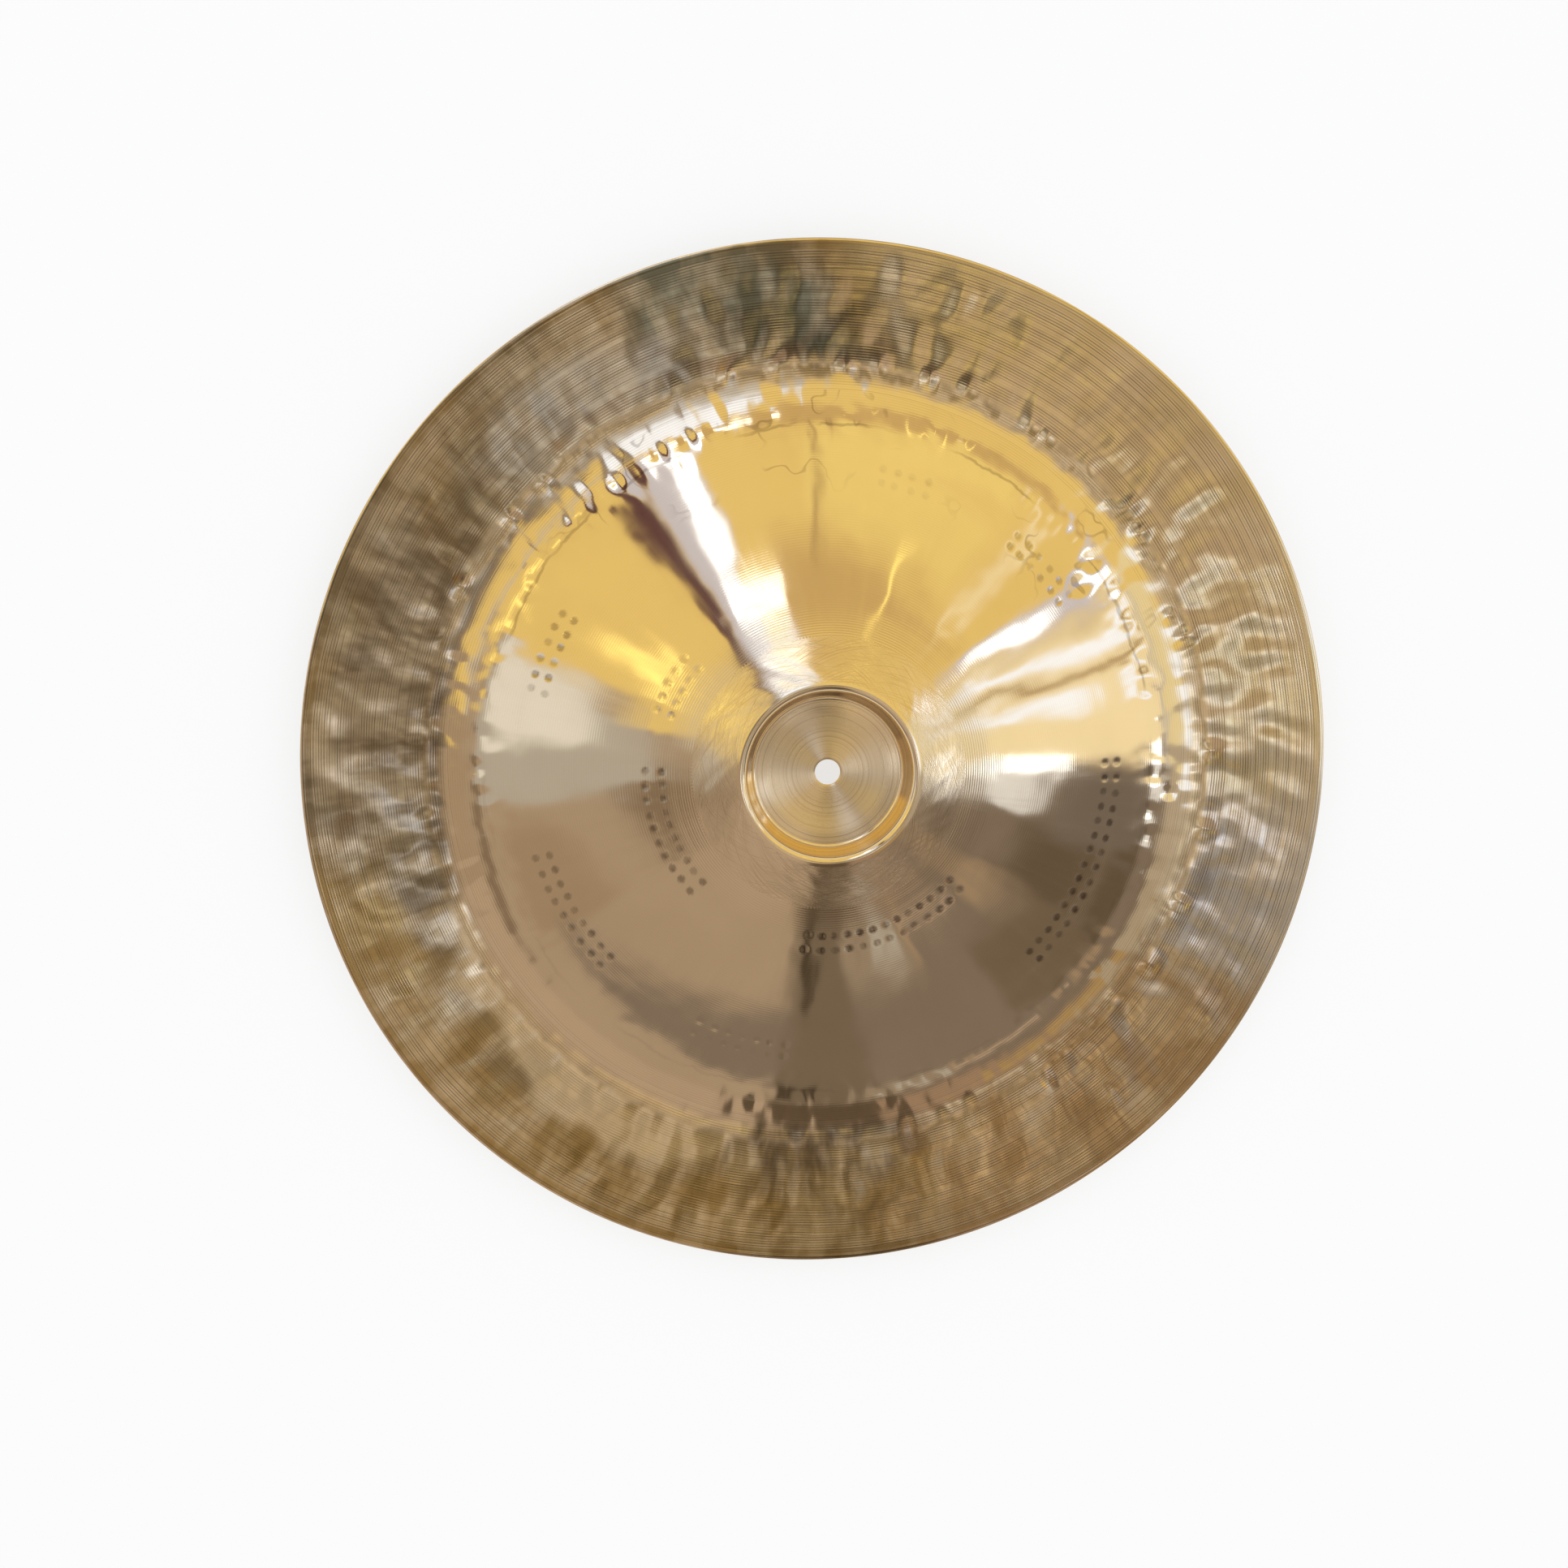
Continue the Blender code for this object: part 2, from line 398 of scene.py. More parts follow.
def geometry_tree(name, inputs):
    """A geometry tree with the named inputs, each given as (name, kind), and its input node."""
    group = bpy.data.node_groups.new(name, "GeometryNodeTree")
    group.interface.new_socket("Geometry", in_out="INPUT", socket_type="NodeSocketGeometry")
    for label, kind in inputs:
        group.interface.new_socket(label, in_out="INPUT", socket_type="NodeSocket" + kind)
    group.interface.new_socket("Geometry", in_out="OUTPUT", socket_type="NodeSocketGeometry")
    tree = Tree(group)
    return tree, tree.add("NodeGroupInput").outputs


def close_tree(tree, given, geometry):
    """End a tree with Realize Instances and Set Material."""
    real = tree.add("GeometryNodeRealizeInstances", {0: geometry})
    inputs = {"Geometry": real.outputs[0], "Material": given["Material"]}
    dressed = tree.add("GeometryNodeSetMaterial", inputs)
    tree.add("NodeGroupOutput", {0: dressed.outputs[0]})


def work(piece, tree, name, values):
    """Put the tree on the piece as a modifier, with its inputs set by their identifiers."""
    modifier = piece.modifiers.new(name, "NODES")
    modifier.node_group = tree.tree
    for item in tree.tree.interface.items_tree:
        if item.in_out == "INPUT" and item.name in values:
            modifier[item.identifier] = values[item.name]


bronze_blank = bpy.data.materials.new("bronze_blank")
print("helpers are ready")

# %% [markdown]
# ## Blows of the hammer
# The flange is raised by rings of blows: each leaves a shallow dent, and no two lie exactly alike.
# The rows of small punched dots on the bow are made the same way, with a punch. One geometry tree
# does both. It scatters one point for each blow round a ring, finds the point nearest to each
# vertex, and pushes the metal down in a smooth dish round it, which may be longer outwards than
# across. The tree also writes down how much dirt a mark holds, for the finish to read. One side
# of the disc can be left bare, as the hammer has hardly touched it there.

# %% A tree that strikes one ring of blows
BLOW_SIZES = ["Ring Radius", "Blow Radius", "Length", "Depth", "Scatter", "Drift", "Unevenness"]
BLOW_SIZES += ["Patchiness", "Calm", "Phase", "Step", "Underside", "Dirt"]
BLOW_COUNTS = [("Blows", "Int"), ("Seed", "Int"), ("Material", "Material")]
# the bare side: middle, half width and softness in degrees
BARE_SIDE = (229, 28, 5)
strike, given = geometry_tree("strike_ring", [(name, "Float") for name in BLOW_SIZES] + BLOW_COUNTS)
index = strike.add("GeometryNodeInputIndex").outputs[0]


def random_between(low, high, salt):
    """A random number for each blow, the same each run."""
    node = strike.add("FunctionNodeRandomValue", data_type="FLOAT")
    seed = strike.plus(given["Seed"], salt)
    return strike.put_shown(node, {"Min": low, "Max": high, "ID": index, "Seed": seed})


drift = strike.times(random_between(-1.0, 1.0, 11), given["Drift"])
place = strike.plus(index, given["Phase"], drift)
turn = strike.times(place, given["Step"])
reach = strike.plus(given["Ring Radius"], strike.times(random_between(-1.0, 1.0, 23), given["Scatter"]))
blow_x = strike.times(strike.math("COSINE", turn), reach)
blow_y = strike.times(strike.math("SINE", turn), reach)
points = strike.add("GeometryNodePoints", {"Count": given["Blows"], "Position": strike.vector(blow_x, blow_y)})
points = points.outputs[0]

position = strike.add("GeometryNodeInputPosition").outputs[0]
here = strike.parts(position)
flat = strike.vector(here[0], here[1])
nearest = strike.add("GeometryNodeSampleNearest", {"Geometry": points, "Sample Position": flat}).outputs[0]


def of_nearest(value, kind):
    """A value of the blow nearest to the vertex."""
    node = strike.add("GeometryNodeSampleIndex", data_type=kind, domain="POINT")
    return strike.put_shown(node, {"Geometry": points, "Value": value, "Index": nearest})


# %% The shape of one dent, and the dirt in it
centre = of_nearest(position, "FLOAT_VECTOR")
weakness = of_nearest(random_between(0.0, 1.0, 37), "FLOAT")
gap = strike.vectors("SUBTRACT", flat, centre)
outwards = strike.vectors("DOT_PRODUCT", gap, strike.vectors("NORMALIZE", centre))
all_ways = strike.vectors("DOT_PRODUCT", gap, gap)
across = strike.math("SUBTRACT", all_ways, strike.times(outwards, outwards))
long_reach = strike.math("DIVIDE", outwards, given["Length"])
squares = strike.plus(across, strike.times(long_reach, long_reach))
blow_square = strike.times(given["Blow Radius"], given["Blow Radius"])
bowl = strike.math("SUBTRACT", 1.0, strike.math("DIVIDE", squares, blow_square, clamp=True))
bowl = strike.times(bowl, bowl)
force = strike.math("SUBTRACT", 1.0, strike.times(weakness, given["Unevenness"]))
side_of_disc = strike.noise(strike.vectors("NORMALIZE", centre), 1.6, 0.0, 0.5, given["Seed"])
spared = strike.times(strike.ramp(side_of_disc, 0.56, 0.44), given["Patchiness"])
force = strike.times(force, strike.math("SUBTRACT", 1.0, spared))
bare = strike.sector(strike.vectors("NORMALIZE", centre), *BARE_SIDE)
force = strike.times(force, strike.math("SUBTRACT", 1.0, strike.times(bare, given["Calm"])))
upward = strike.parts(strike.add("GeometryNodeInputNormal").outputs[0])[2]
face_share = strike.ramp(upward, -0.1, 0.1, given["Underside"], 1.0)
push = strike.vector(0.0, 0.0, strike.times(bowl, force, given["Depth"], face_share, -1.0))
pushed = strike.add("GeometryNodeSetPosition", {"Geometry": given["Geometry"], "Offset": push}).outputs[0]

known = strike.add("GeometryNodeInputNamedAttribute", {"Name": "dirt"}, data_type="FLOAT").outputs["Attribute"]
soiled = strike.times(strike.ramp(bowl, 0.02, 0.40), force, given["Dirt"], face_share)
dirt = strike.math("MAXIMUM", known, soiled)
marked = strike.add("GeometryNodeStoreNamedAttribute", data_type="FLOAT", domain="POINT")
marked = strike.put_shown(marked, {"Geometry": pushed, "Name": "dirt", "Value": dirt})
close_tree(strike, given, marked)
print("strike_ring has", len(strike.tree.nodes), "nodes")

# %% [markdown]
# Four kinds of marks use the tree. Raising blows stand close together on the turn. Planishing
# blows are wide and faint, and cover the flange. Punched dots stand in two pairs of rows, which
# the lathe has worn away in places, so they are laid as arcs. A few single marks show where the
# hammer fell harder.

# %% Rings of blows
# name, ring radius, blows, blow radius, length, depth, scatter, drift, unevenness, patchiness, dirt
BLOW_RINGS = [
    ("crease_blows", 0.1535, 58, 0.0056, 1.1, 0.00034, 0.0014, 0.25, 0.6, 0.6, 0.05),
    ("inner_blows", 0.1605, 52, 0.0046, 1.4, 0.00030, 0.0018, 0.35, 0.9, 0.6, 0.05),
    ("valley_blows", 0.1690, 46, 0.0066, 1.4, 0.00026, 0.0030, 0.40, 0.9, 0.6, 0.00),
    ("heel_blows", 0.1800, 40, 0.0050, 1.6, 0.00030, 0.0020, 0.40, 0.9, 0.7, 0.05),
    ("flange_blows_a", 0.1935, 46, 0.0080, 1.5, 0.00022, 0.0060, 0.45, 0.9, 0.4, 0.00),
    ("flange_blows_b", 0.2080, 48, 0.0084, 1.5, 0.00022, 0.0070, 0.45, 0.9, 0.4, 0.00),
]
HAMMER_UNDERSIDE = 1.0
GOLDEN_SHARE = 0.618
seed = 3
for name, radius, blows, size, length, depth, scatter, aside, uneven, patchy, dirt_share in BLOW_RINGS:
    values = {
        "Ring Radius": radius,
        "Blows": blows,
        "Step": 2 * math.pi / blows,
        "Blow Radius": size,
        "Length": length,
        "Depth": depth,
        "Scatter": scatter,
        "Drift": aside,
        "Unevenness": uneven,
        "Patchiness": patchy,
        "Calm": 1.0,
        "Phase": seed * GOLDEN_SHARE % 1,
        "Dirt": dirt_share,
        "Underside": HAMMER_UNDERSIDE,
        "Seed": seed,
        "Material": bronze_blank,
    }
    work(blank, strike, name, values)
    seed += 1
print(len(BLOW_RINGS), "rings of blows")

# %% Arcs of punched dots
# name, radii of the two rows, degrees from dot to dot, arcs as first degree, number of dots and dirt
DOT_ROWS = [
    ("inner_dots", (0.0730, 0.0800), 4.6, [(179, 10, 0.8), (263, 13, 0.9), (141, 5, 0.2)]),
    ("outer_dots", (0.1283, 0.1345), 3.04,
     [(35, 6, 0.5), (70, 4, 0.2), (149, 6, 0.7), (197, 9, 0.7), (244, 7, 0.1), (318, 15, 1.0)]),
]
DOT = {
    "Blow Radius": 0.0023,
    "Length": 1.0,
    "Depth": 0.00011,
    "Scatter": 0.0003,
    "Drift": 0.08,
    "Unevenness": 0.5,
    "Material": bronze_blank,
}
for name, radii, step, arcs in DOT_ROWS:
    for radius in radii:
        for first, dots, dirt_share in arcs:
            values = {"Ring Radius": radius, "Blows": dots, "Step": math.radians(step), "Dirt": dirt_share}
            values["Phase"] = first / step
            values["Seed"] = seed
            work(blank, strike, f"{name}_{seed}", DOT | values)
            seed += 1
print("modifiers on the blank:", len(blank.modifiers))

# %% Single marks that stand out
# degrees round the disc, radius, blow radius, length, depth
SINGLE_MARKS = [
    (86.9, 0.1757, 0.0066, 1.0, 0.00055),
    (153.1, 0.1794, 0.0060, 1.1, 0.00050),
    (125.8, 0.1552, 0.0038, 1.5, 0.00050),
    (135.1, 0.1560, 0.0044, 1.0, 0.00045),
    (134.2, 0.1746, 0.0042, 1.5, 0.00045),
    (141.1, 0.1751, 0.0042, 1.4, 0.00040),
    (74.7, 0.1775, 0.0034, 1.8, 0.00050),
    (35.2, 0.1415, 0.0070, 1.2, 0.00035),
    (1.7, 0.1804, 0.0050, 1.3, 0.00050),
    (338.6, 0.1809, 0.0044, 1.4, 0.00045),
    (350.0, 0.1816, 0.0044, 1.5, 0.00045),
    (36.0, 0.1770, 0.0050, 1.4, 0.00045),
    (55.7, 0.1780, 0.0036, 1.6, 0.00035),
    (96.7, 0.1770, 0.0046, 1.3, 0.00040),
    (104.0, 0.1770, 0.0040, 1.4, 0.00035),
    (108.0, 0.1565, 0.0042, 1.3, 0.00045),
    (112.5, 0.1572, 0.0046, 1.2, 0.00045),
    (117.6, 0.1572, 0.0046, 1.3, 0.00045),
    (66.4, 0.1590, 0.0040, 1.4, 0.00045),
    (71.4, 0.1575, 0.0040, 1.4, 0.00045),
    (19.0, 0.1760, 0.0050, 1.8, 0.00045),
    (23.0, 0.1715, 0.0036, 1.5, 0.00040),
    (305.4, 0.1850, 0.0036, 1.8, 0.00040),
    (311.0, 0.2055, 0.0030, 2.0, 0.00030),
    (328.0, 0.1820, 0.0040, 1.6, 0.00045),
    (355.0, 0.1624, 0.0040, 1.5, 0.00045),
]
for number, (degrees, radius, size, length, depth) in enumerate(SINGLE_MARKS):
    values = {
        "Ring Radius": radius,
        "Blows": 1,
        "Step": 2 * math.pi,
        "Blow Radius": size,
        "Length": length,
        "Depth": depth,
        "Phase": degrees / 360,
        "Underside": HAMMER_UNDERSIDE,
        "Seed": seed + number,
        "Material": bronze_blank,
    }
    work(blank, strike, f"single_mark_{number}", values)
print(len(SINGLE_MARKS), "single marks")

# %% [markdown]
# ## Waves in the metal
# Planishing leaves the flange wavy: long shallow furrows that run outwards. A reflection breaks up
# on them into the short streaks that mark such a cymbal. The bow has fainter waves. The tree reads
# noise on a cylinder, so it closes round the disc, and squeezes it so that the furrows are long.

# %% A tree that works waves into a band of the disc
WAVE_SIZES = ["Start Radius", "Full Radius", "Fade Radius", "End Radius", "Height"]
WAVE_SIZES += ["Late Start", "Waves Round", "Waves Outwards", "Twist", "Seed"]
furrow, given = geometry_tree("furrowed_band", [(name, "Float") for name in WAVE_SIZES] + BLOW_COUNTS[-1:])
here = furrow.parts(furrow.add("GeometryNodeInputPosition").outputs[0])
radius = furrow.vectors("LENGTH", furrow.vector(here[0], here[1]))
angle = furrow.math("ARCTAN2", here[1], here[0])
angle = furrow.math("MULTIPLY_ADD", radius, given["Twist"], angle)
round_x = furrow.times(furrow.math("COSINE", angle), given["Waves Round"])
round_y = furrow.times(furrow.math("SINE", angle), given["Waves Round"])
outward = furrow.times(radius, given["Waves Outwards"])
height = furrow.noise(furrow.vector(round_x, round_y, outward), 1.0, 1.0, 0.5, given["Seed"])
outwards = furrow.vectors("NORMALIZE", furrow.vector(here[0], here[1]))
bare = furrow.sector(outwards, *BARE_SIDE)
moved = furrow.math("SUBTRACT", radius, furrow.times(bare, given["Late Start"]))
inner = furrow.ramp(moved, given["Start Radius"], given["Full Radius"])
outer = furrow.ramp(radius, given["End Radius"], given["Fade Radius"])
height = furrow.times(furrow.math("SUBTRACT", height, 0.5), given["Height"], inner, outer)
push = furrow.vector(0.0, 0.0, height)
pushed = furrow.add("GeometryNodeSetPosition", {"Geometry": given["Geometry"], "Offset": push})
close_tree(furrow, given, pushed.outputs[0])

# name, start, full, fade and end radius, late start, height, waves round, waves outwards, twist
WAVE_BANDS = [
    ("heel_waves", 0.158, 0.168, 0.186, 0.200, 0.014, 0.00060, 15.0, 60.0, 0.0),
    ("flange_furrows", 0.170, 0.188, 0.214, 0.2286, 0.014, 0.00080, 12.0, 44.0, 1.6),
    ("flange_ripples", 0.170, 0.186, 0.214, 0.2286, 0.014, 0.00015, 22.0, 70.0, 1.0),
    ("bow_swell", 0.060, 0.080, 0.140, 0.160, 0.0, 0.00060, 3.6, 18.0, 0.0),
    ("bow_ripples", 0.062, 0.080, 0.140, 0.160, 0.0, 0.00016, 5.5, 60.0, 0.0),
    ("bow_ridges", 0.064, 0.080, 0.140, 0.156, 0.0, 0.00006, 8.0, 150.0, 0.0),
    ("crease_ripples", 0.138, 0.150, 0.166, 0.182, 0.0, 0.00045, 18.0, 50.0, 0.0),
    ("throat_swell", 0.040, 0.046, 0.054, 0.0615, 0.0, 0.00050, 5.0, 30.0, -22.0),
]
for number, (name, begin, full, fade, end, late, high, waves, out, twist) in enumerate(WAVE_BANDS):
    values = {
        "Start Radius": begin,
        "Full Radius": full,
        "Fade Radius": fade,
        "End Radius": end,
        "Late Start": late,
        "Height": high,
        "Waves Round": waves,
        "Waves Outwards": out,
        "Twist": twist,
        "Seed": 3.0 * number - 3.0,
        "Material": bronze_blank,
    }
    work(blank, furrow, name, values)
print(len(WAVE_BANDS), "bands of waves")

# %% [markdown]
# ## One plain mesh
# The trees have done their work once the mesh is made from the evaluated object. The plain mesh
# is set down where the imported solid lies, with its lip at the same height, and kept in its box.

# %% Evaluate, set down and keep the mesh
graph = bpy.context.evaluated_depsgraph_get()
worked_mesh = bpy.data.meshes.new_from_object(blank.evaluated_get(graph))
bpy.data.objects.remove(blank, do_unlink=True)
worked_mesh.name = "hammered_disc"
disc = bpy.data.objects.new("hammered_disc", worked_mesh)
bpy.context.scene.collection.objects.link(disc)

cells = np.empty(len(worked_mesh.vertices) * 3)
worked_mesh.vertices.foreach_get("co", cells)
cells = cells.reshape(-1, 3)
low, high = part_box("cymbal_disc")
cells[:, 2] += high.z - cells[:, 2].max()
print("lowest point before it is set on the table", cells[:, 2].min())
cells[:, 2] = np.clip(cells[:, 2], low.z, high.z)
worked_mesh.vertices.foreach_set("co", cells.ravel())
worked_mesh.update()
worked_mesh.shade_smooth()

# %% [markdown]
# ## Bronze
# Bell bronze is one metal with several finishes. Turning leaves fine circles that smear a
# reflection outwards, across the marks, so the turned zones are anisotropic with the tangent
# pointing outwards. The cup's wall is buffed to a mirror, the throat is sanded by hand in all
# directions, and the flange keeps coarse tool marks and a browner skin. Each zone is a material
# of its own, because anisotropy is a constant of the shader.

# %% Helpers that all finishes share
BRONZE = (0.80, 0.64, 0.41)
BROWN_SKIN = (0.56, 0.42, 0.25)
OLIVE_SKIN = (0.31, 0.225, 0.115)
GOLDEN_SKIN = (0.44, 0.29, 0.115)
# the colour of the dirt in the marks, and of the painted shade along the crease
DIRT_AND_SHADE = (0.16, 0.11, 0.07)


class Finish(Tree):
    """A bronze material with the radius, the angle and a tangent that points outwards."""

    def __init__(self, name, anisotropy):
        self.material = bpy.data.materials.new(name)
        self.material.use_nodes = True
        super().__init__(self.material.node_tree)
        self.shader = self.tree.nodes["Principled BSDF"]
        self.shader.inputs["Metallic"].default_value = 1.0
        self.shader.inputs["Anisotropic"].default_value = anisotropy
        self.place = self.add("ShaderNodeTexCoord").outputs["Object"]
        x, y, _ = self.parts(self.place)
        flat_place = self.vector(x, y)
        self.radius = self.vectors("LENGTH", flat_place)
        self.outwards = self.vectors("NORMALIZE", flat_place)
        self.put(self.shader.inputs["Tangent"], self.outwards)

    def circles(self, pitch, wander, seed, detail=3.0):
        """Irregular circular tool marks: noise on the radius, with a slow wander round the disc."""
        slow = self.noise(self.place, 9.0, 1.0, 0.5, seed)
        off = self.times(self.math("SUBTRACT", slow, 0.5), wander)
        run = self.math("DIVIDE", self.plus(self.radius, off), pitch)
        inputs = {"W": run, "Scale": 1.0, "Detail": detail, "Roughness": 0.62}
        return self.add("ShaderNodeTexNoise", inputs, noise_dimensions="1D").outputs[0]

    def grooves(self, pitch, wander, seed):
        """Even grooves from the feed of the tool, which drift a little: 1 on a ridge, 0 in a groove."""
        slow = self.noise(self.place, 16.0, 2.0, 0.5, seed)
        run = self.plus(self.radius, self.times(slow, wander))
        wave = self.math("SINE", self.times(run, 2 * math.pi / pitch))
        return self.math("MULTIPLY_ADD", wave, 0.5, 0.5)

    def streaks(self, count, outward_scale, seed):
        """Soft streaks that run outwards, as from a cloth drawn over the spinning disc."""
        x, y, _ = self.parts(self.outwards)
        along = self.times(self.radius, outward_scale)
        round_the_disc = self.vector(self.times(x, count), self.times(y, count), along)
        return self.noise(round_the_disc, 1.0, 3.0, 0.6, seed)

    def dirt(self):
        """The dirt that the hammer's and the punch's marks hold."""
        return self.add("ShaderNodeAttribute", attribute_name="dirt").outputs["Fac"]

    def finish(self, colour, roughness, height):
        """Wire the three results to the shader; the height is in metres."""
        bump = self.add("ShaderNodeBump", {"Height": height, "Strength": 1.0, "Distance": 1.0})
        self.put(self.shader.inputs["Normal"], bump.outputs[0])
        self.put(self.shader.inputs["Base Color"], colour)
        self.put(self.shader.inputs["Roughness"], roughness)
        print(self.material.name, "has", len(self.tree.nodes), "nodes")
        return self.material


# %% Turned finish of the bow, up to the valley
TURNING_PITCH = 0.00108
TIDE_SIDE = (0.20, 0.98, 0.0)
# radius of the line of painted shade along the crease
CREASE_SHADE_RADIUS = 0.1516


def tide_marks(bow):
    """Brown lines on one side of the bow, where drops of polish dried at their edges."""
    warp = bow.noise(bow.place, 24.0, 3.0, 0.55, 31.0)
    line = bow.ramp(bow.math("ABSOLUTE", bow.math("SUBTRACT", warp, 0.5)), 0.012, 0.002)
    here = bow.ramp(bow.noise(bow.place, 26.0, 1.0, 0.5, 33.0), 0.48, 0.60)
    side = bow.ramp(bow.vectors("DOT_PRODUCT", bow.outwards, TIDE_SIDE), 0.30, 0.75)
    return bow.times(line, here, side, bow.ramp(bow.radius, 0.116, 0.138))


def painted_crease_shade(bow):
    """A thin wavy dark line painted along the crease: painted shade, which stands in for the dark edge that
    the crease's dents show in reflection.
    """
    wobble = bow.math("SUBTRACT", bow.noise(bow.place, 60.0, 3.0, 0.6, 35.0), 0.5)
    off = bow.math("ABSOLUTE", bow.plus(bow.radius, bow.times(wobble, 0.010), -CREASE_SHADE_RADIUS))
    here = bow.ramp(bow.noise(bow.place, 34.0, 1.0, 0.5, 37.0), 0.42, 0.58)
    side = bow.ramp(bow.vectors("DOT_PRODUCT", bow.outwards, TIDE_SIDE), -0.10, 0.30, 0.25, 1.0)
    return bow.times(bow.ramp(off, 0.0012, 0.0002), here, side)


def bow_finish():
    """Fine circles, stronger next to the throat and on the turn, over a nearly buffed surface."""
    bow = Finish("turned_bow", 0.65)
    feed = bow.grooves(TURNING_PITCH, 0.0016, 17.0)
    fine = bow.circles(0.0010, 0.0005, 1.0)
    hair = bow.circles(0.0004, 0.0002, 7.0)
    near_throat = bow.ramp(bow.radius, 0.080, 0.062)
    near_valley = bow.ramp(bow.radius, 0.148, 0.170)
    patchy = bow.ramp(bow.noise(bow.place, 14.0, 1.0, 0.5, 12.0), 0.35, 0.65, 0.2, 1.0)
    coarse = bow.plus(bow.times(near_throat, 0.000016), bow.times(near_valley, 0.000005))
    depth = bow.plus(0.0000030, bow.times(coarse, patchy))
    height = bow.plus(bow.times(feed, depth), bow.times(fine, depth), bow.times(hair, 0.0000018))

    line_strength = bow.plus(0.10, bow.times(near_throat, 0.65), bow.times(near_valley, 0.35))
    dark_lines = bow.times(bow.ramp(feed, 0.40, 0.05), line_strength, patchy)
    cloud = bow.ramp(bow.noise(bow.place, 20.0, 3.0, 0.6, 2.0), 0.35, 0.75, 0.0, 0.16)
    skin = bow.math("ADD", dark_lines, cloud, clamp=True)
    colour = bow.mix(skin, BRONZE, BROWN_SKIN)
    # the tide marks are stains; the line along the crease is painted shade
    marks = bow.math("MAXIMUM", bow.times(tide_marks(bow), 0.40), bow.times(painted_crease_shade(bow), 0.42))
    darkened = bow.math("MAXIMUM", bow.times(bow.dirt(), 0.8), marks)
    colour = bow.mix(darkened, colour, DIRT_AND_SHADE)

    wiped = bow.ramp(bow.streaks(22.0, 14.0, 4.0), 0.35, 0.75, 0.070, 0.110)
    roughness = bow.plus(wiped, bow.times(near_valley, 0.015), bow.times(near_throat, 0.02))
    return bow.finish(colour, roughness, height)


turned_bow = bow_finish()


# %% Coarse turning of the flange, with painted reflections on its skin
# light and dark patches painted on the flange as reflections of bright and dark surroundings: degrees round
# the disc, half width, millimetres from the axis, half depth, softness, colour
PAINTED_REFLECTIONS = [
    (347, 20, 205, 45, 9, (0.62, 0.54, 0.42)),
    (40, 42, 205, 45, 10, (0.72, 0.56, 0.29)),
    (106, 8, 216, 16, 6, (0.24, 0.23, 0.15)),
    (97, 6, 196, 14, 5, (0.24, 0.23, 0.15)),
    (123, 13, 188, 16, 8, (0.50, 0.44, 0.34)),
    (191, 13, 205, 45, 5, (0.22, 0.165, 0.095)),
    (164, 14, 196, 18, 8, (0.26, 0.185, 0.105)),
    (228, 40, 216, 14, 10, (0.39, 0.26, 0.10)),
    (271, 15, 172, 16, 6, (0.24, 0.18, 0.12)),
    (306, 24, 205, 45, 8, (0.54, 0.36, 0.18)),
]
# degrees round the disc, half width, softness, and how much earlier the skin starts there; where it starts
# earlier, round 184 and 296 degrees, the darker heel is painted shade
SKIN_AND_SHADE_STARTS = [(184, 18, 6, 0.012), (296, 38, 5, 0.014), (229, 28, 4, -0.006), (239, 8, 10, -0.012)]


